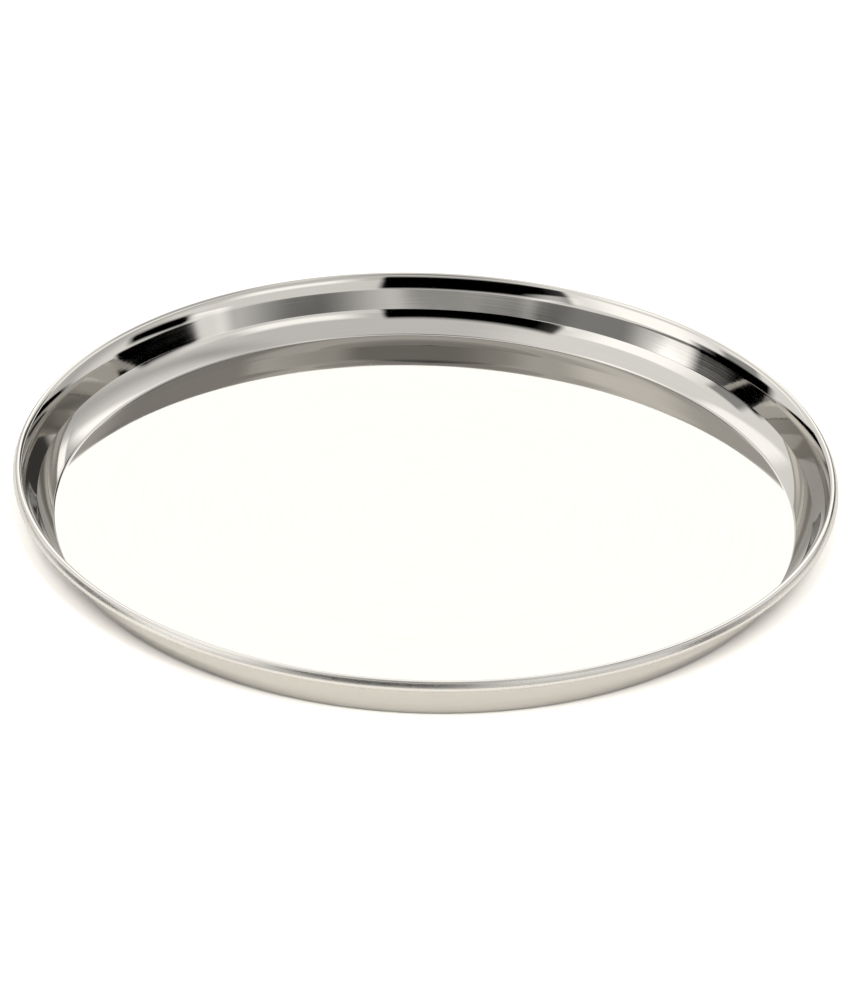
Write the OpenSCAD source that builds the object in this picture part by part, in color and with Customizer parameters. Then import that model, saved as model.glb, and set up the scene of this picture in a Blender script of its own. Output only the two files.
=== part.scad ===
// Thali plate: one round steel pressing whose rim is curled over a stiffening wire.
// The half section follows the sheet from the centre of the floor out to the free edge of the curl.
// Frame: origin at the centre of the base, on the table; +Z up along the axis of the plate.

/* [Plate] */
// Diameter over the rolled rim
rim_d = 300; // [200:5:400]
// Height from the table to the top of the rim
plate_h = 21; // [17:0.5:40]
// Thickness of the steel sheet
sheet_t = 0.7; // [0.5:0.1:1]

/* [Wall] */
// Inner radius of the tight bend at the edge of the floor
heel_r = 3; // [2:0.5:6]
// Slope of the sheet above that bend, measured from the table
heel_angle = 46; // [38:1:52]
// Inner radius of the gentle curve of the lower wall
cove_r = 38; // [26:1:44]
// Slope at the top of that curve
cove_angle = 60; // [55:1:64]
// Inner radius of the crease where the wall turns steeper
crease_r = 2; // [1:0.5:5]
// Slope of the straight upper wall
wall_angle = 70; // [66:1:78]
// Radius by which the lip flares out above the wall
lip_r = 23; // [8:1:32]
// Slope of the lip where the curl starts
lip_angle = 55; // [45:1:61]

/* [Rolled rim] */
// Diameter of the stiffening wire
wire_d = 2.4; // [1.2:0.1:3]
// Room left all round the wire inside the curl
wire_clear = 0.1; // [0.05:0.05:0.2]
// Angle through which the sheet is curled over the wire
curl_turn = 288; // [240:4:292]

/* [Hidden] */
$fn = 144;

// Largest turn between two points of the wide bends, and of the tight ones
bend_step = 3.5;
curl_step = 9;

// Outer radius of the rolled rim, from the wire outwards
bead_r = wire_d / 2 + wire_clear + sheet_t;

// Heights that the bends of the wall and the crown of the curl take up
heel_rise = heel_r * (1 - cos(heel_angle));
cove_rise = cove_r * (cos(heel_angle) - cos(cove_angle));
crease_rise = crease_r * (cos(cove_angle) - cos(wall_angle));
lip_rise = lip_r * (cos(lip_angle) - cos(wall_angle));
crown_rise = bead_r * (1 - cos(lip_angle));

// The straight wall fills what is left of the height
wall_rise = plate_h - sheet_t - heel_rise - cove_rise - crease_rise - lip_rise - crown_rise;

// Widths that the parts of the wall take up
heel_run = heel_r * sin(heel_angle);
cove_run = cove_r * (sin(cove_angle) - sin(heel_angle));
crease_run = crease_r * (sin(wall_angle) - sin(cove_angle));
wall_run = wall_rise / tan(wall_angle);
lip_run = lip_r * (sin(wall_angle) - sin(lip_angle));
crown_run = bead_r * (1 + sin(lip_angle));

// The flat floor fills what is left of the radius
floor_r = rim_d / 2 - crown_run - lip_run - wall_run - crease_run - cove_run - heel_run;

// Direction square through the sheet, from its upper face to its under face, where it has a slope
function through(slope) = [sin(slope), -cos(slope)];

// Centres of the bends: the first three lie above the sheet, the lip's and the curl's below it
heel_centre = [floor_r, sheet_t + heel_r];
cove_centre = heel_centre + (heel_r - cove_r) * through(heel_angle);
crease_centre = cove_centre + (cove_r - crease_r) * through(cove_angle);
wall_foot = crease_centre + crease_r * through(wall_angle);
wall_top = wall_foot + [wall_run, wall_rise];
lip_centre = wall_top + lip_r * through(wall_angle);
bead_centre = [rim_d / 2 - bead_r, plate_h - bead_r];

// Points of a bend after its start, from one angle to another
function bend(centre, radius, from, to, step) =
    let (count = ceil(abs(to - from) / step))
    [for (i = [1 : count]) let (a = from + (to - from) * i / count) centre + radius * [cos(a), sin(a)]];

// One face of the sheet, at a depth below its upper face, from the axis to the edge of the curl
function sheet_face(depth) = concat(
    [[0, sheet_t - depth], [floor_r, sheet_t - depth]],
    bend(heel_centre, heel_r + depth, -90, heel_angle - 90, curl_step),
    bend(cove_centre, cove_r + depth, heel_angle - 90, cove_angle - 90, bend_step),
    bend(crease_centre, crease_r + depth, cove_angle - 90, wall_angle - 90, bend_step),
    [wall_top + depth * through(wall_angle)],
    bend(lip_centre, lip_r - depth, 90 + wall_angle, 90 + lip_angle, bend_step),
    bend(bead_centre, bead_r - depth, 90 + lip_angle, 90 + lip_angle - curl_turn, curl_step)
);

// The same points from last to first
function backwards(points) = [for (i = [len(points) - 1 : -1 : 0]) points[i]];

// The pressing: one sheet from the middle of the floor to the free edge of the curl
module pressed_plate() {
    color("gainsboro")
        rotate_extrude()
            polygon(concat(sheet_face(sheet_t), backwards(sheet_face(0))));
}

// The wire ring that the rim is curled over
module rim_wire() {
    color("darkgray")
        rotate_extrude()
            translate(bead_centre)
                circle(d = wire_d);
}

pressed_plate();
rim_wire();
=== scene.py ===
# %% [markdown]
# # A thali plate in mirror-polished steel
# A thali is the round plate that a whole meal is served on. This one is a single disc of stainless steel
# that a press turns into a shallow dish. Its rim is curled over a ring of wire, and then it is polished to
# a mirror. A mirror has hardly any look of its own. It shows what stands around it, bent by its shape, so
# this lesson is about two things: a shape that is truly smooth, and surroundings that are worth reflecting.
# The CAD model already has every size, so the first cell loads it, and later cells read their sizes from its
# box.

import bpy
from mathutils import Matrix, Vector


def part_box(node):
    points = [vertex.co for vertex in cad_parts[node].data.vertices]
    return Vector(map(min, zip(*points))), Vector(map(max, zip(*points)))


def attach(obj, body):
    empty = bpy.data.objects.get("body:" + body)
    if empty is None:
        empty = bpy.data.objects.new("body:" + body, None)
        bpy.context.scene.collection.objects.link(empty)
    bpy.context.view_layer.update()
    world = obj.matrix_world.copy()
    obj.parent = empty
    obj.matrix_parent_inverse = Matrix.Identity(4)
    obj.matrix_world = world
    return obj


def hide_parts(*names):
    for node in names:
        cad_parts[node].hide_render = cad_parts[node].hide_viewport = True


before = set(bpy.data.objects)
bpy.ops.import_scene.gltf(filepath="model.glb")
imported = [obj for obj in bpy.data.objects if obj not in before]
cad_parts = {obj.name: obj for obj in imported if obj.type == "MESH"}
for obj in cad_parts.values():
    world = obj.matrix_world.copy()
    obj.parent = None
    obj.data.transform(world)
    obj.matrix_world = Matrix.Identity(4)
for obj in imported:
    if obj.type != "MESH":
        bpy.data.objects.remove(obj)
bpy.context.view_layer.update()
print("CAD nodes:", sorted(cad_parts))

# %% [markdown]
# ## The sizes that drive the section
# The whole plate follows from one half section, turned once round the axis. The frame gives its outer
# sizes: the rim's diameter and height are the plate's box, and the wire's diameter is the height of its
# ring. The few sizes that a box can't give, such as the bend radii, are those of the CAD model. Only the
# wall is set a touch flatter and the heel a touch tighter, because their reflections in the photograph ask
# for it. Typing every point of the section would work too, but then nobody could change the sheet's
# thickness without drawing it again.

# %% Sizes of the section
import math

MM = 0.001

_, plate_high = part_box("pressed_plate")
wire_low, wire_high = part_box("rim_wire")
rim_radius = plate_high.x
plate_height = plate_high.z
wire_radius = (wire_high.z - wire_low.z) / 2

SHEET = 0.7 * MM
WIRE_CLEARANCE = 0.1 * MM
HEEL_RADIUS = 1.5 * MM
COVE_RADIUS = 38 * MM
CREASE_RADIUS = 2 * MM
LIP_RADIUS = 23 * MM
HEEL_SLOPE = math.radians(46)
COVE_SLOPE = math.radians(60)
WALL_SLOPE = math.radians(68)
LIP_SLOPE = math.radians(55)
CURL_TURN = math.radians(288)

bead_radius = wire_radius + WIRE_CLEARANCE + SHEET
print("rim radius", round(rim_radius / MM, 2), "mm, bead radius", round(bead_radius / MM, 2), "mm")

# %% Where the bends sit
heel_rise = HEEL_RADIUS * (1 - math.cos(HEEL_SLOPE))
cove_rise = COVE_RADIUS * (math.cos(HEEL_SLOPE) - math.cos(COVE_SLOPE))
crease_rise = CREASE_RADIUS * (math.cos(COVE_SLOPE) - math.cos(WALL_SLOPE))
lip_rise = LIP_RADIUS * (math.cos(LIP_SLOPE) - math.cos(WALL_SLOPE))
crown_rise = bead_radius * (1 - math.cos(LIP_SLOPE))
wall_rise = plate_height - SHEET - heel_rise - cove_rise - crease_rise - lip_rise - crown_rise

heel_run = HEEL_RADIUS * math.sin(HEEL_SLOPE)
cove_run = COVE_RADIUS * (math.sin(COVE_SLOPE) - math.sin(HEEL_SLOPE))
crease_run = CREASE_RADIUS * (math.sin(WALL_SLOPE) - math.sin(COVE_SLOPE))
wall_run = wall_rise / math.tan(WALL_SLOPE)
lip_run = LIP_RADIUS * (math.sin(WALL_SLOPE) - math.sin(LIP_SLOPE))
crown_run = bead_radius * (1 + math.sin(LIP_SLOPE))
floor_radius = rim_radius - crown_run - lip_run - wall_run - crease_run - cove_run - heel_run


def through(point, slope, distance):
    """The point this far down through the sheet, square to it, where the sheet has this slope."""
    return (point[0] + distance * math.sin(slope), point[1] - distance * math.cos(slope))


heel_centre = (floor_radius, SHEET + HEEL_RADIUS)
cove_centre = through(heel_centre, HEEL_SLOPE, HEEL_RADIUS - COVE_RADIUS)
crease_centre = through(cove_centre, COVE_SLOPE, COVE_RADIUS - CREASE_RADIUS)
wall_foot = through(crease_centre, WALL_SLOPE, CREASE_RADIUS)
wall_top = (wall_foot[0] + wall_run, wall_foot[1] + wall_rise)
lip_centre = through(wall_top, WALL_SLOPE, LIP_RADIUS)
bead_centre = (rim_radius - bead_radius, plate_height - bead_radius)
print("flat floor out to", round(floor_radius / MM, 2), "mm")
print("straight wall", round(wall_rise / MM, 2), "mm high")

# %% [markdown]
# ## The half section
# A pressed sheet has two faces that stay one thickness apart. The upper face runs from the axis along the
# flat floor, round a tight bend called the heel, up a gently hollow lower wall to a crease, then up the
# straight wall and out over the flared lip. The lower face does the same one sheet further down. Every bend
# is an arc, so each point also knows which way the surface faces there: along the arc's own radius. Those
# directions are kept beside the points, because in a mirror they matter more than the points do.

# %% Arcs that know their own normals
HEEL_STEPS = 12
COVE_STEPS = 12
CREASE_STEPS = 6
LIP_STEPS = 8
FLOOR_RINGS = 8


def bend(centre, radius, start, end, steps, outward):
    """Points of an arc after its start, with normals: outward is 1 away from the centre, -1 towards it."""
    points = []
    for step in range(1, steps + 1):
        angle = start + (end - start) * step / steps
        turned = (math.cos(angle), math.sin(angle))
        place = (centre[0] + radius * turned[0], centre[1] + radius * turned[1])
        points.append((place, (outward * turned[0], outward * turned[1])))
    return points


print("steps of the heel, cove, crease and lip:", HEEL_STEPS, COVE_STEPS, CREASE_STEPS, LIP_STEPS)


# %% One face of the sheet
def sheet_face(depth, facing):
    """The face at this depth under the upper one, from the axis to the end of the lip; facing is 1 or -1."""
    points = []
    for ring in range(FLOOR_RINGS + 1):
        points.append(((floor_radius * ring / FLOOR_RINGS, SHEET - depth), (0, facing)))
    quarter = math.pi / 2
    heel_end = HEEL_SLOPE - quarter
    cove_end = COVE_SLOPE - quarter
    crease_end = WALL_SLOPE - quarter
    points += bend(heel_centre, HEEL_RADIUS + depth, -quarter, heel_end, HEEL_STEPS, -facing)
    points += bend(cove_centre, COVE_RADIUS + depth, heel_end, cove_end, COVE_STEPS, -facing)
    points += bend(crease_centre, CREASE_RADIUS + depth, cove_end, crease_end, CREASE_STEPS, -facing)
    out_of_wall = (-facing * math.sin(WALL_SLOPE), facing * math.cos(WALL_SLOPE))
    points.append((through(wall_top, WALL_SLOPE, depth), out_of_wall))
    lip_start = quarter + WALL_SLOPE
    curl_start = quarter + LIP_SLOPE
    points += bend(lip_centre, LIP_RADIUS - depth, lip_start, curl_start, LIP_STEPS, facing)
    return points


print("steps along one face:", FLOOR_RINGS + HEEL_STEPS + COVE_STEPS + CREASE_STEPS + LIP_STEPS)

# %% [markdown]
# ## The curled rim
# The edge of a pressed dish is sharp and weak, so it is rolled outwards and under, round a ring of wire. A
# roller does that from the outside, and it leaves the outer side of the curl a little flatter than the
# rest. A plain circle would do for the shape alone. The flat flank is drawn because a mirror shows it: it
# turns the thin dark line on the near rim into a clear stripe. The inner face stays a plain circle, clear
# of the wire.

# %% The curl
CURL_START = math.pi / 2 + LIP_SLOPE
CURL_END = CURL_START - CURL_TURN
CROWN_END = math.radians(95)
CORNER_RADIUS = 1.2 * MM
FLANK_START = math.radians(37)
FLANK_RADIUS = 6.5 * MM
FLANK_END = math.radians(23)
UNDER_RADIUS = 1.6 * MM
CROWN_STEPS = 10
CORNER_STEPS = 12
FLANK_STEPS = 6
UNDER_STEPS = 24
INSIDE_STEPS = 40

roll = [
    (bead_radius, CURL_START, CROWN_END, CROWN_STEPS),
    (CORNER_RADIUS, CROWN_END, FLANK_START, CORNER_STEPS),
    (FLANK_RADIUS, FLANK_START, FLANK_END, FLANK_STEPS),
    (UNDER_RADIUS, FLANK_END, CURL_END, UNDER_STEPS),
]
upper_face = sheet_face(0, 1)
for arc_radius, arc_start, arc_end, steps in roll:
    tip = upper_face[-1][0]
    arc_centre = (tip[0] - arc_radius * math.cos(arc_start), tip[1] - arc_radius * math.sin(arc_start))
    upper_face += bend(arc_centre, arc_radius, arc_start, arc_end, steps, 1)
under_face = sheet_face(SHEET, -1)
under_face += bend(bead_centre, bead_radius - SHEET, CURL_START, CURL_END, INSIDE_STEPS, -1)
print("curl turned through", round(math.degrees(CURL_TURN)), "degrees")

# %% The closed outline
EDGE_STEPS = 6

outer_tip = upper_face[-1][0]
inner_tip = under_face[-1][0]
edge_centre = ((outer_tip[0] + inner_tip[0]) / 2, (outer_tip[1] + inner_tip[1]) / 2)
edge_angle = math.atan2(outer_tip[1] - inner_tip[1], outer_tip[0] - inner_tip[0])
edge_radius = math.dist(outer_tip, inner_tip) / 2
free_edge = bend(edge_centre, edge_radius, edge_angle, edge_angle - math.pi, EDGE_STEPS, 1)[:-1]

outline = upper_face + free_edge + under_face[::-1]
print("section:", len(outline), "points, edge of the sheet rounded to", round(edge_radius / MM, 2), "mm")

# %% [markdown]
# ## Turn the section into the plate
# A press forms the sheet between two round tools, so the plate is the same all the way round. Blender's
# Screw modifier can turn a section, and so can a loop over its points. The loop is used here because it can
# also hand over the exact normals. Averaged normals would tilt the outer ring of the flat floor a little
# towards the cove, and in a mirror even a degree shows as a bent reflection.

# %% Spin the points
from mathutils import Vector

SPOKES = 320
AXIS_LIMIT = 0.01 * MM   # a point closer to the axis than this stays a single point


def spin(section):
    """The points of a half section spun round the axis: vertices, their normals and their rings."""
    vertices = []
    normals = []
    rings = []
    for (radius, height), (out, up) in section:
        on_axis = radius < AXIS_LIMIT
        ring = []
        for spoke in range(1 if on_axis else SPOKES):
            angle = 2 * math.pi * spoke / SPOKES
            direction = Vector((math.cos(angle), math.sin(angle), 0))
            ring.append(len(vertices))
            vertices.append(radius * direction + Vector((0, 0, height)))
            normals.append(out * direction + Vector((0, 0, up)))
        rings.append(ring)
    return vertices, normals, rings


print("spokes are", round(2 * math.pi * rim_radius / SPOKES / MM, 2), "mm apart at the rim")


# %% Join the rings into a mesh
import bpy


def turn(name, section):
    """A closed mesh from a half section that starts and ends on the axis, with a normal for every point."""
    vertices, normals, rings = spin(section)
    faces = []
    for inner, outer in zip(rings, rings[1:]):
        for spoke in range(SPOKES):
            following = (spoke + 1) % SPOKES
            corners = [
                inner[spoke % len(inner)],
                outer[spoke % len(outer)],
                outer[following % len(outer)],
                inner[following % len(inner)],
            ]
            faces.append(list(dict.fromkeys(corners)))
    mesh = bpy.data.meshes.new(name)
    mesh.from_pydata(vertices, [], faces)
    mesh.shade_smooth()
    mesh.normals_split_custom_set_from_vertices(normals)
    made = bpy.data.objects.new(name, mesh)
    bpy.context.scene.collection.objects.link(made)
    return made


print("the section makes", (len(outline) - 1) * SPOKES, "faces")

# %% The pressed plate
plate = turn("thali_plate", outline)
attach(plate, "root")
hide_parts("pressed_plate")
print("plate mesh:", len(plate.data.vertices), "vertices,", len(plate.data.polygons), "faces")

# %% [markdown]
# ## Two small helpers for materials
# Colours are written as the hex values that a paint program shows, which are sRGB. Blender's shaders work
# in linear light, so one function converts them. The other helper adds a node, sets its options or input
# values, and links what feeds it, so that a material reads as a list of what was added and why.

# %% Colour and node helpers
def linear(hex_colour):
    """An sRGB hex colour as linear RGBA, by the standard sRGB curve."""
    channels = []
    for start in (1, 3, 5):
        value = int(hex_colour[start:start + 2], 16) / 255
        channels.append(value / 12.92 if value <= 0.04045 else ((value + 0.055) / 1.055) ** 2.4)
    return (*channels, 1)


def add_node(tree, kind, settings, links):
    """Add a node: settings are its options or input values, links are the outputs that feed its inputs."""
    node = tree.nodes.new(kind)
    for name, value in settings.items():
        if isinstance(name, int) or name in node.inputs:
            node.inputs[name].default_value = value
        else:
            setattr(node, name, value)
    for name, source in links.items():
        tree.links.new(source, node.inputs[name])
    return node


print("the middle grey #808080 is", round(linear("#808080")[0], 3), "in linear light")

# %% [markdown]
# ## Mirror-polished stainless steel
# The sheet is cold-rolled stainless steel. After pressing, it is spun against a cloth wheel with ever finer
# compound until it mirrors. Four things stay behind that the eye picks up: very fine arcs round the axis
# from the wheel, long shallow waves from the press, thin cloudy marks where a cloth wiped the compound off,
# and a duller outer side of the rim, where the roller ran and where plates scuff each other in a stack. All
# of them are tiny, so they go into roughness and bump, never into strong colour. Steel is a metal, so the
# base colour is its reflection colour: a grey a little on the warm side.

# %% Sizes of the steel's marks
# Real buffing lines are about 0.03 mm apart, and this is the finest spacing that can show here
BUFFING_SPACING = 0.9 * MM
BUFFING_LENGTH = 40 * MM
BUFFING_DEPTH = 0.0012 * MM
PRESS_WAVE = 45 * MM
PRESS_WAVE_DEPTH = 0.04 * MM
WIPE_MARK = 28 * MM
SCUFF_LENGTH = 3 * MM
ROLLED_WIDTH = 1.8 * MM
ROLLED_BLEND = 1 * MM

STEEL_BRIGHT = linear("#C4C1BB")
STEEL_DULL = linear("#BCB9B3")
STEEL_GLANCING = linear("#DDDDDD")
print("steel reflects", [round(channel, 2) for channel in STEEL_BRIGHT[:3]], "of red, green and blue")

# %% Coordinates that run along the buffing lines
LEVEL = (1, 1, 0)   # keeps x and y and drops the height

steel = bpy.data.materials.new("mirror_polished_stainless_steel")
steel.use_nodes = True
steel_tree = steel.node_tree
steel_shader = steel_tree.nodes["Principled BSDF"]

steel_place = add_node(steel_tree, "ShaderNodeTexCoord", {}, {})
steel_flat = add_node(
    steel_tree,
    "ShaderNodeVectorMath",
    {"operation": "MULTIPLY", 1: LEVEL},
    {0: steel_place.outputs["Object"]},
)
compass = add_node(
    steel_tree, "ShaderNodeVectorMath", {"operation": "NORMALIZE"}, {0: steel_flat.outputs["Vector"]}
)
round_axis = add_node(
    steel_tree,
    "ShaderNodeVectorMath",
    {"operation": "SCALE", "Scale": rim_radius / BUFFING_LENGTH},
    {0: compass.outputs["Vector"]},
)
off_axis = add_node(
    steel_tree, "ShaderNodeVectorMath", {"operation": "LENGTH"}, {0: steel_flat.outputs["Vector"]}
)
steel_parts = add_node(steel_tree, "ShaderNodeSeparateXYZ", {}, {"Vector": steel_place.outputs["Object"]})
along_section = add_node(
    steel_tree,
    "ShaderNodeMath",
    {"operation": "ADD"},
    {0: off_axis.outputs["Value"], 1: steel_parts.outputs["Z"]},
)
line_count = add_node(
    steel_tree,
    "ShaderNodeMath",
    {"operation": "DIVIDE", 1: BUFFING_SPACING},
    {0: along_section.outputs["Value"]},
)
line_axis = add_node(steel_tree, "ShaderNodeCombineXYZ", {}, {"Z": line_count.outputs["Value"]})
buffing_place = add_node(
    steel_tree,
    "ShaderNodeVectorMath",
    {"operation": "ADD"},
    {0: round_axis.outputs["Vector"], 1: line_axis.outputs["Vector"]},
)
print("about", round((rim_radius + plate_height) / BUFFING_SPACING), "buffing arcs from the axis to the rim")

# %% Buffing arcs, press waves and wipe marks
buffing = add_node(
    steel_tree,
    "ShaderNodeTexNoise",
    {"Scale": 1, "Detail": 3, "Roughness": 0.6},
    {"Vector": buffing_place.outputs["Vector"]},
)
waves = add_node(
    steel_tree,
    "ShaderNodeTexNoise",
    {"Scale": 1 / PRESS_WAVE, "Detail": 1},
    {"Vector": steel_place.outputs["Object"]},
)
wipes = add_node(
    steel_tree,
    "ShaderNodeTexNoise",
    {"Scale": 1 / WIPE_MARK, "Detail": 4, "Roughness": 0.65, "Distortion": 1.2},
    {"Vector": steel_place.outputs["Object"]},
)
print("press waves about", round(PRESS_WAVE / MM), "mm long, wipe marks about", round(WIPE_MARK / MM), "mm")

# %% The duller outer side of the rim
SCUFF_NOISE = (0.3, 0.7)   # the noise stays mostly between these two
ROLLED_ROUGHNESS = (0.22, 0.27)

rolled_from = rim_radius - ROLLED_WIDTH
scuffs = add_node(
    steel_tree,
    "ShaderNodeTexNoise",
    {"Scale": 1 / SCUFF_LENGTH, "Detail": 5, "Roughness": 0.7},
    {"Vector": steel_place.outputs["Object"]},
)
scuffed = add_node(
    steel_tree,
    "ShaderNodeMapRange",
    {
        "From Min": SCUFF_NOISE[0],
        "From Max": SCUFF_NOISE[1],
        "To Min": ROLLED_ROUGHNESS[0],
        "To Max": ROLLED_ROUGHNESS[1],
    },
    {"Value": scuffs.outputs["Fac"]},
)
rolled = add_node(
    steel_tree,
    "ShaderNodeMapRange",
    {"From Min": rolled_from, "From Max": rolled_from + ROLLED_BLEND},
    {"Value": off_axis.outputs["Value"]},
)
rim_wear = add_node(
    steel_tree,
    "ShaderNodeMath",
    {"operation": "MULTIPLY"},
    {0: scuffed.outputs["Result"], 1: rolled.outputs["Result"]},
)
print("duller from", round(rolled_from / MM, 1), "mm out from the axis")

# %% Roughness and colour
MIRROR_ROUGHNESS = 0.02
WIPED_ROUGHNESS = 0.06
MARK_NOISE = (0.35, 0.7)
BUFFING_SHARE = 0.4   # the rest of the cloudiness comes from wiping

marks = add_node(
    steel_tree,
    "ShaderNodeMix",
    {"data_type": "FLOAT", "Factor": BUFFING_SHARE},
    {"A": wipes.outputs["Fac"], "B": buffing.outputs["Fac"]},
)
polish = add_node(
    steel_tree,
    "ShaderNodeMapRange",
    {
        "From Min": MARK_NOISE[0],
        "From Max": MARK_NOISE[1],
        "To Min": MIRROR_ROUGHNESS,
        "To Max": WIPED_ROUGHNESS,
    },
    {"Value": marks.outputs["Result"]},
)
roughness = add_node(
    steel_tree,
    "ShaderNodeMath",
    {"operation": "ADD"},
    {0: polish.outputs["Result"], 1: rim_wear.outputs["Value"]},
)
tint = add_node(
    steel_tree,
    "ShaderNodeMix",
    {"data_type": "RGBA", "A": STEEL_BRIGHT, "B": STEEL_DULL},
    {"Factor": buffing.outputs["Fac"]},
)
print("roughness from", MIRROR_ROUGHNESS, "to", WIPED_ROUGHNESS)

# %% Bump, weaker on the flat floor
FLOOR_BUFFING = 0.1   # a flat floor takes the wheel evenly, a wall gets ridges from the spinning

ridges = add_node(
    steel_tree,
    "ShaderNodeMapRange",
    {"From Min": floor_radius - HEEL_RADIUS, "From Max": floor_radius, "To Min": FLOOR_BUFFING},
    {"Value": off_axis.outputs["Value"]},
)
wave_bump = add_node(
    steel_tree,
    "ShaderNodeBump",
    {"Strength": 1, "Distance": PRESS_WAVE_DEPTH},
    {"Height": waves.outputs["Fac"]},
)
buffing_bump = add_node(
    steel_tree,
    "ShaderNodeBump",
    {"Distance": BUFFING_DEPTH},
    {
        "Strength": ridges.outputs["Result"],
        "Height": buffing.outputs["Fac"],
        "Normal": wave_bump.outputs["Normal"],
    },
)

steel_shader.inputs["Metallic"].default_value = 1
# Real steel dims a little at a glancing angle before it turns white, and the tint sets that dip
steel_shader.inputs["Specular Tint"].default_value = STEEL_GLANCING
steel_tree.links.new(tint.outputs["Result"], steel_shader.inputs["Base Color"])
steel_tree.links.new(roughness.outputs["Value"], steel_shader.inputs["Roughness"])
steel_tree.links.new(buffing_bump.outputs["Normal"], steel_shader.inputs["Normal"])
plate.data.materials.append(steel)
print("steel nodes:", len(steel_tree.nodes))

# %% [markdown]
# ## Drawn steel wire
# The ring inside the curl is plain steel wire. Wire is pulled through a die, which leaves fine lines along
# its length and a soft, dull shine. It is hidden in use, but it shows through the slot under the rim when
# the plate is turned over, so it has its own duller metal instead of the plate's mirror.

# %% The wire's metal
DIE_LINE = 0.2 * MM
DIE_LINE_DEPTH = 0.01 * MM
WIRE_BRIGHT = linear("#A9A49C")
WIRE_DULL = linear("#8E8982")
WIRE_ROUGHNESS = (0.28, 0.5)

wire_steel = bpy.data.materials.new("drawn_steel_wire")
wire_steel.use_nodes = True
wire_tree = wire_steel.node_tree
wire_shader = wire_tree.nodes["Principled BSDF"]

wire_place = add_node(wire_tree, "ShaderNodeTexCoord", {}, {})
wire_level = add_node(
    wire_tree,
    "ShaderNodeVectorMath",
    {"operation": "MULTIPLY", 1: LEVEL},
    {0: wire_place.outputs["Object"]},
)
wire_out = add_node(
    wire_tree, "ShaderNodeVectorMath", {"operation": "LENGTH"}, {0: wire_level.outputs["Vector"]}
)
wire_parts = add_node(wire_tree, "ShaderNodeSeparateXYZ", {}, {"Vector": wire_place.outputs["Object"]})
die_place = add_node(
    wire_tree, "ShaderNodeCombineXYZ", {}, {"X": wire_out.outputs["Value"], "Y": wire_parts.outputs["Z"]}
)
die_lines = add_node(
    wire_tree,
    "ShaderNodeTexNoise",
    {"Scale": 1 / DIE_LINE, "Detail": 2},
    {"Vector": die_place.outputs["Vector"]},
)
wire_tint = add_node(
    wire_tree,
    "ShaderNodeMix",
    {"data_type": "RGBA", "A": WIRE_BRIGHT, "B": WIRE_DULL},
    {"Factor": die_lines.outputs["Fac"]},
)
wire_roughness = add_node(
    wire_tree,
    "ShaderNodeMapRange",
    {"To Min": WIRE_ROUGHNESS[0], "To Max": WIRE_ROUGHNESS[1]},
    {"Value": die_lines.outputs["Fac"]},
)
wire_bump = add_node(
    wire_tree, "ShaderNodeBump", {"Distance": DIE_LINE_DEPTH}, {"Height": die_lines.outputs["Fac"]}
)

wire_shader.inputs["Metallic"].default_value = 1
wire_tree.links.new(wire_tint.outputs["Result"], wire_shader.inputs["Base Color"])
wire_tree.links.new(wire_roughness.outputs["Result"], wire_shader.inputs["Roughness"])
wire_tree.links.new(wire_bump.outputs["Normal"], wire_shader.inputs["Normal"])

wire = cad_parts["rim_wire"]
wire.data.materials.clear()
wire.data.materials.append(wire_steel)
print("wire ring:", round(2 * wire_radius / MM, 2), "mm wire")

# %% [markdown]
# ## The table
# The plate lies on a plain white table. It is more than a background here: the outside of the wall leans
# out over it and mirrors nothing else. A very large plane keeps its far edge out of every view. It sits a
# hair under the plate's base, because two faces at exactly the same height flicker in a render. Its top is
# white laminate, pressed smooth and matt, so it scatters light evenly and has hardly any shine of its own.

# %% A pale floor
TABLE_SIZE = 60   # metres
TABLE_GAP = 0.05 * MM
TABLE_WHITE = linear("#F4F2EE")
TABLE_ROUGHNESS = 0.7
TABLE_SHINE = 0.1

table_corners = []
for side_x, side_y in ((-1, -1), (1, -1), (1, 1), (-1, 1)):
    table_corners.append((side_x * TABLE_SIZE / 2, side_y * TABLE_SIZE / 2, -TABLE_GAP))
table_mesh = bpy.data.meshes.new("table")
table_mesh.from_pydata(table_corners, [], [(0, 1, 2, 3)])
table = bpy.data.objects.new("table", table_mesh)
bpy.context.scene.collection.objects.link(table)

table_top = bpy.data.materials.new("white_laminate")
table_top.use_nodes = True
table_shader = table_top.node_tree.nodes["Principled BSDF"]
table_shader.inputs["Base Color"].default_value = TABLE_WHITE
table_shader.inputs["Roughness"].default_value = TABLE_ROUGHNESS
table_shader.inputs["Specular IOR Level"].default_value = TABLE_SHINE
table.data.materials.append(table_top)
print("table:", TABLE_SIZE, "m across")

# %% [markdown]
# ## A light tent to be mirrored
# A photographer puts polished metal in a white tent. The tent alone would make the steel a dull even grey,
# so softboxes behind it add bright patches, and black flags add dark ones that make the wall read as metal.
# Lamps in the scene could do this, but a lamp can only add light, and a flag has to take it away. Here the
# tent is the world itself: every direction has a bearing and an elevation, and each softbox or flag is a
# soft-edged patch that adds to the brightness there or takes from it. Brightness 1 is the white of paper.

# %% Which way a ray looks
world = bpy.data.worlds.new("light_tent")
world.use_nodes = True
world_tree = world.node_tree

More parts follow.
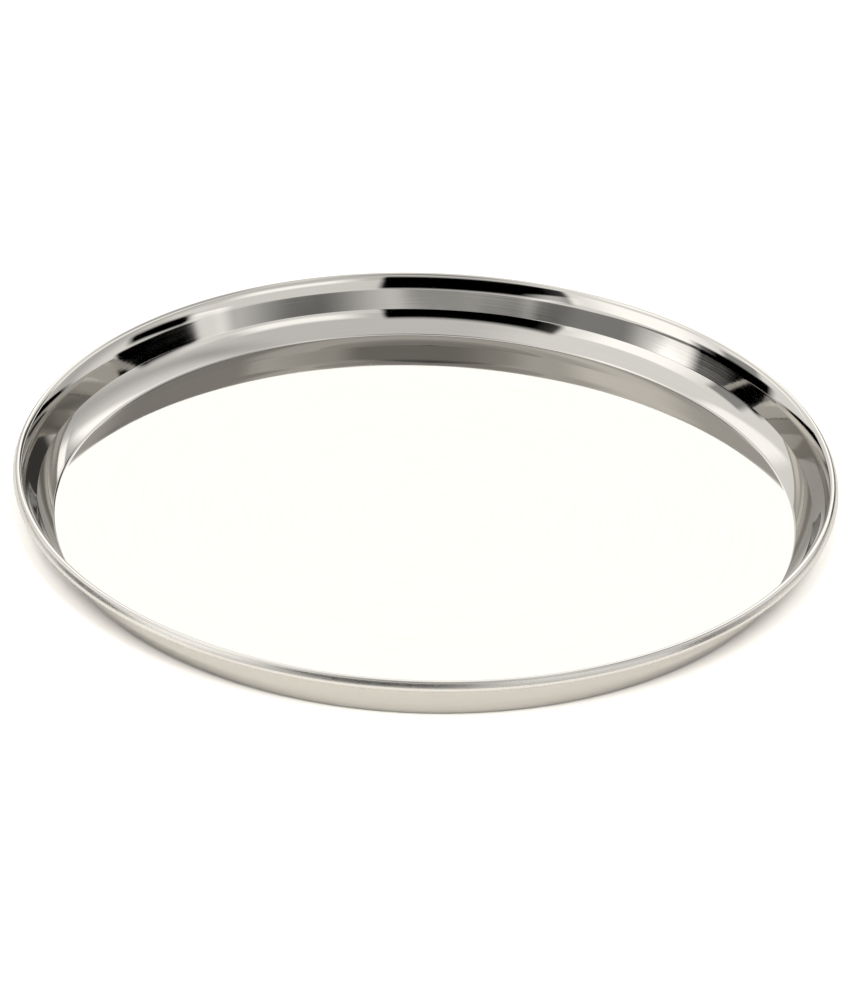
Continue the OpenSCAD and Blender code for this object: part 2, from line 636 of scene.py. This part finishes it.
look = add_node(world_tree, "ShaderNodeTexCoord", {}, {})
look_parts = add_node(world_tree, "ShaderNodeSeparateXYZ", {}, {"Vector": look.outputs["Generated"]})
heading = add_node(
    world_tree,
    "ShaderNodeMath",
    {"operation": "ARCTAN2"},
    {0: look_parts.outputs["X"], 1: look_parts.outputs["Y"]},
)
bearing_seen = add_node(
    world_tree, "ShaderNodeMath", {"operation": "DEGREES"}, {0: heading.outputs["Value"]}
)
rise = add_node(world_tree, "ShaderNodeMath", {"operation": "ARCSINE"}, {0: look_parts.outputs["Z"]})
elevation_seen = add_node(world_tree, "ShaderNodeMath", {"operation": "DEGREES"}, {0: rise.outputs["Value"]})
print("bearing 0 is behind the plate, 90 to its right, 180 at the camera, -90 to its left")


# %% A band with soft edges
def soft_band(offset, half, blur):
    """1 where the offset is within this half width either way, 0 outside it, with an edge this soft."""
    distance = add_node(
        world_tree, "ShaderNodeMath", {"operation": "ABSOLUTE"}, {0: offset.outputs["Value"]}
    )
    return add_node(
        world_tree,
        "ShaderNodeMapRange",
        {
            "interpolation_type": "SMOOTHSTEP",
            "From Min": half + blur / 2,
            "From Max": half - blur / 2,
        },
        {"Value": distance.outputs["Value"]},
    )


print("nodes before the first patch:", len(world_tree.nodes))


# %% One soft-edged patch
TENT_BRIGHTNESS = 0.92
HALF_TURN = 180


def add_patch(light, bearing, half, low, high, side_blur, edge_blur, slant, amount):
    """Add a patch to the light so far. Degrees give its place and blur, slant its climb for each degree."""
    apart = add_node(
        world_tree,
        "ShaderNodeMath",
        {"operation": "SUBTRACT", 1: bearing},
        {0: bearing_seen.outputs["Value"]},
    )
    turned = add_node(
        world_tree,
        "ShaderNodeMath",
        {"operation": "WRAP", 1: HALF_TURN, 2: -HALF_TURN},
        {0: apart.outputs["Value"]},
    )
    straightened = add_node(
        world_tree,
        "ShaderNodeMath",
        {"operation": "MULTIPLY_ADD", 1: -slant},
        {0: turned.outputs["Value"], 2: elevation_seen.outputs["Value"]},
    )
    from_middle = add_node(
        world_tree,
        "ShaderNodeMath",
        {"operation": "SUBTRACT", 1: (low + high) / 2},
        {0: straightened.outputs["Value"]},
    )
    across = soft_band(turned, half, side_blur)
    upright = soft_band(from_middle, (high - low) / 2, edge_blur)
    patch = add_node(
        world_tree,
        "ShaderNodeMath",
        {"operation": "MULTIPLY"},
        {0: across.outputs["Result"], 1: upright.outputs["Result"]},
    )
    total = add_node(
        world_tree,
        "ShaderNodeMath",
        {"operation": "MULTIPLY_ADD", 1: amount, 2: TENT_BRIGHTNESS},
        {0: patch.outputs["Value"]},
    )
    # The first patch adds to the plain tent, and each later one to the sum so far
    if light is not None:
        world_tree.links.new(light, total.inputs[2])
    return total.outputs["Value"]


print("the plain tent has brightness", TENT_BRIGHTNESS)

# %% [markdown]
# ## The lighting plan
# Each row is a softbox, a gap or a flag: where it stands, half its width, its lower and upper edge, how
# blurred its sides and edges are, how much it slants, and how much it adds or takes away. The flat floor of
# the plate mirrors only the panel behind it, the far wall mirrors the camera's side, and each side wall
# mirrors the side across from it. So every row can be judged by one part of the plate. A picture of a real
# room would be quicker, but nobody could move a single light in it.

# %% Behind the plate and at the camera
# A patch with one of these ends past the horizon, the zenith or half a turn, so that edge never shows
GROUND = -30
ZENITH = 140
ALL_ROUND = 190

# Bearing, half width, lower edge, upper edge, blur of the sides, blur of the edges, slant, amount
BEHIND = {
    "white_panel": (0, 14, GROUND, 42.5, 10, 2.5, 0, 0.84),
    "glow_of_the_tent": (-22, 130, GROUND, 75.5, 35, 1.5, 0, 0.32),
    "low_gap_left": (-40, 23, GROUND, 5.5, 16, 1.5, 0.1, -1.6),
    "low_gap_right": (31, 26, GROUND, 6, 21, 1, -0.06, -1.6),
    "gap_beside_the_panel": (31, 20, 13.5, 27, 10, 1, -0.2, -1.1),
}
CAMERA_SIDE = {
    "dark_behind_the_camera": (193, 28, 18.5, 40.5, 3, 5.5, 0, -1.15),
    "light_at_its_corner": (215, 6, 17, 27.5, 12, 3, 0.44, 0.8),
    "slit_under_it": (197, 26, 14.5, 15.5, 7, 1, -0.04, -0.5),
    "dim_roof": (181, 48, 66, ZENITH, 19, 5, -0.06, -0.45),
    "dim_top_of_the_tent": (0, ALL_ROUND, 80, ZENITH, 4, 8, 0, -0.27),
}
print("patches in front and behind:", len(BEHIND) + len(CAMERA_SIDE))

# %% To the left and the right
LEFT_SIDE = {
    "softbox": (-114, 18, 15, 32, 21, 1, -0.24, 0.66),
    "bright_seam": (-66, 14, 19, 40, 9, 4, -0.86, 0.55),
    "flag": (-85, 15, GROUND, 14.5, 6, 3, -0.24, -1.4),
    "top_of_the_flag": (-82, 7, 14, 21, 4, 2, -0.2, -0.8),
    "light_beside_the_flag": (-102, 14, GROUND, 6.5, 17, 1, -0.24, 1.44),
    "low_strip": (-133, 33, 9.5, 13.5, 4, 1, -0.04, -0.9),
    "roof_light": (-62, 45, 55, 67, 16, 7.5, 0, 0.6),
}
RIGHT_SIDE = {
    "softbox": (138, 17, 30.5, 35.5, 15, 3, 0.16, 0.86),
    "spill_of_the_softbox": (136, 36, 13, 31, 39, 1, 0.12, 0.22),
    "light_beside_the_flag": (114, 6, 8, 19, 6, 2, -0.06, 0.84),
    "flag": (97, 10, 10.5, 19.5, 5, 6.5, 0.16, -1.4),
    "dim_gap_under_the_flag": (107, 12, 6.5, 18.5, 11, 12, -0.18, -0.64),
    "foot_of_the_flag": (96, 14, GROUND, 6.5, 3, 3, 0.12, -1.4),
    "bright_seam": (57, 35, 15.5, 27, 3, 7, 1, 0.7),
    "shade_above_the_seam": (78, 35, 12, 26.5, 28, 17, 0.68, -0.52),
    "low_strip": (144, 14, 12, 15, 24, 1, 0.1, -0.7),
    "roof_shade": (51, 40, 48, 66.5, 13, 5.5, 0.14, -0.52),
}
print("patches at the sides:", len(LEFT_SIDE) + len(RIGHT_SIDE))

# %% Add them all up
light_sum = None
for side in (BEHIND, CAMERA_SIDE, LEFT_SIDE, RIGHT_SIDE):
    for row in side.values():
        light_sum = add_patch(light_sum, *row)
brightness = add_node(world_tree, "ShaderNodeMath", {"operation": "MAXIMUM", 1: 0}, {0: light_sum})
world_tree.links.new(brightness.outputs["Value"], world_tree.nodes["Background"].inputs["Strength"])
world_tree.nodes["Background"].inputs["Color"].default_value = linear("#FFFFFF")
bpy.context.scene.world = world
bpy.context.scene.view_settings.view_transform = "Standard"
print("world nodes:", len(world_tree.nodes))

# %% [markdown]
# ## Two lamps for the table
# The tent leaves the table a light grey, and the photograph shows it as pure white. Two lamps fill it, one
# at each side of the camera, so each lightens the other's shadow. They are low enough to reach in under the
# rim, and only a thin line of contact stays dark. They stand close to the camera, so what shadow is left
# lies behind the plate, where its own rim hides most of it. They are hidden from the steel's reflections,
# because the tent already has all that the steel should mirror.

# %% The fill lamps
FILL_STRENGTH = 3.25
FILL_ELEVATION = math.radians(50)
FILL_ANGLE = math.radians(12)
FILL_COLOUR = linear("#FFFEFC")
# Bearing in degrees, share of the strength
FILL_LAMPS = {"right_fill": (166, 0.55), "left_fill": (-170, 0.45)}

for lamp_name, (lamp_bearing, share) in FILL_LAMPS.items():
    fill = bpy.data.lights.new(lamp_name, "SUN")
    fill.energy = share * FILL_STRENGTH
    fill.angle = FILL_ANGLE
    fill.color = FILL_COLOUR[:3]
    fill_lamp = bpy.data.objects.new(lamp_name, fill)
    lamp_turn = math.radians(lamp_bearing)
    to_lamp = Vector((
        math.sin(lamp_turn) * math.cos(FILL_ELEVATION),
        math.cos(lamp_turn) * math.cos(FILL_ELEVATION),
        math.sin(FILL_ELEVATION),
    ))
    fill_lamp.rotation_euler = to_lamp.to_track_quat("Z", "Y").to_euler()
    fill_lamp.visible_glossy = False
    bpy.context.scene.collection.objects.link(fill_lamp)
    print(lamp_name, "at bearing", lamp_bearing, "gives", round(fill.energy, 2))

# %% [markdown]
# ## The camera
# The photograph looks down on the plate at about thirty degrees, through a long lens and from some way off,
# with the camera held very slightly crooked. The lens and the distance were matched to the rim's ellipse.
# The camera is aimed a little below the rim, so the plate sits as high in the picture as it should, without
# any lens shift.

# %% Camera placed from the photograph
from mathutils import Quaternion

PHOTO_WIDTH = 850
PHOTO_HEIGHT = 995
RIM_CENTRE_X = 426.3
RIM_CENTRE_Y = 465.3
FOCAL_PIXELS = 6198
LOOK_DOWN = math.radians(29.97)
ROLL = math.radians(1.92)
FILM_HEIGHT = 36   # millimetres
CAMERA_RADII = 15   # distance in rim radii
SIGHT_END = 100   # metres, past the far edge of the table

rim_centre = Vector((0, 0, plate_height))
camera_distance = CAMERA_RADII * rim_radius
sight = Vector((0, math.cos(LOOK_DOWN), -math.sin(LOOK_DOWN)))
level_right = Vector((1, 0, 0))
level_up = level_right.cross(sight)
image_right = math.cos(ROLL) * level_right + math.sin(ROLL) * level_up
image_up = math.cos(ROLL) * level_up - math.sin(ROLL) * level_right
offset_right = RIM_CENTRE_X - PHOTO_WIDTH / 2
offset_up = PHOTO_HEIGHT / 2 - RIM_CENTRE_Y
pixel = camera_distance / FOCAL_PIXELS
aim_point = rim_centre - pixel * (offset_right * image_right + offset_up * image_up)

camera_data = bpy.data.cameras.new("camera")
camera_data.sensor_fit = "VERTICAL"
camera_data.sensor_height = FILM_HEIGHT
camera_data.lens = FILM_HEIGHT * FOCAL_PIXELS / PHOTO_HEIGHT
camera_data.clip_end = SIGHT_END
camera = bpy.data.objects.new("camera", camera_data)
camera.location = rim_centre - camera_distance * sight
aim = (aim_point - camera.location).to_track_quat("-Z", "Y")
camera.rotation_euler = (aim @ Quaternion((0, 0, 1), ROLL)).to_euler()
bpy.context.scene.collection.objects.link(camera)
bpy.context.scene.camera = camera
print("camera", round(camera_distance, 2), "m away with a", round(camera_data.lens), "mm lens")
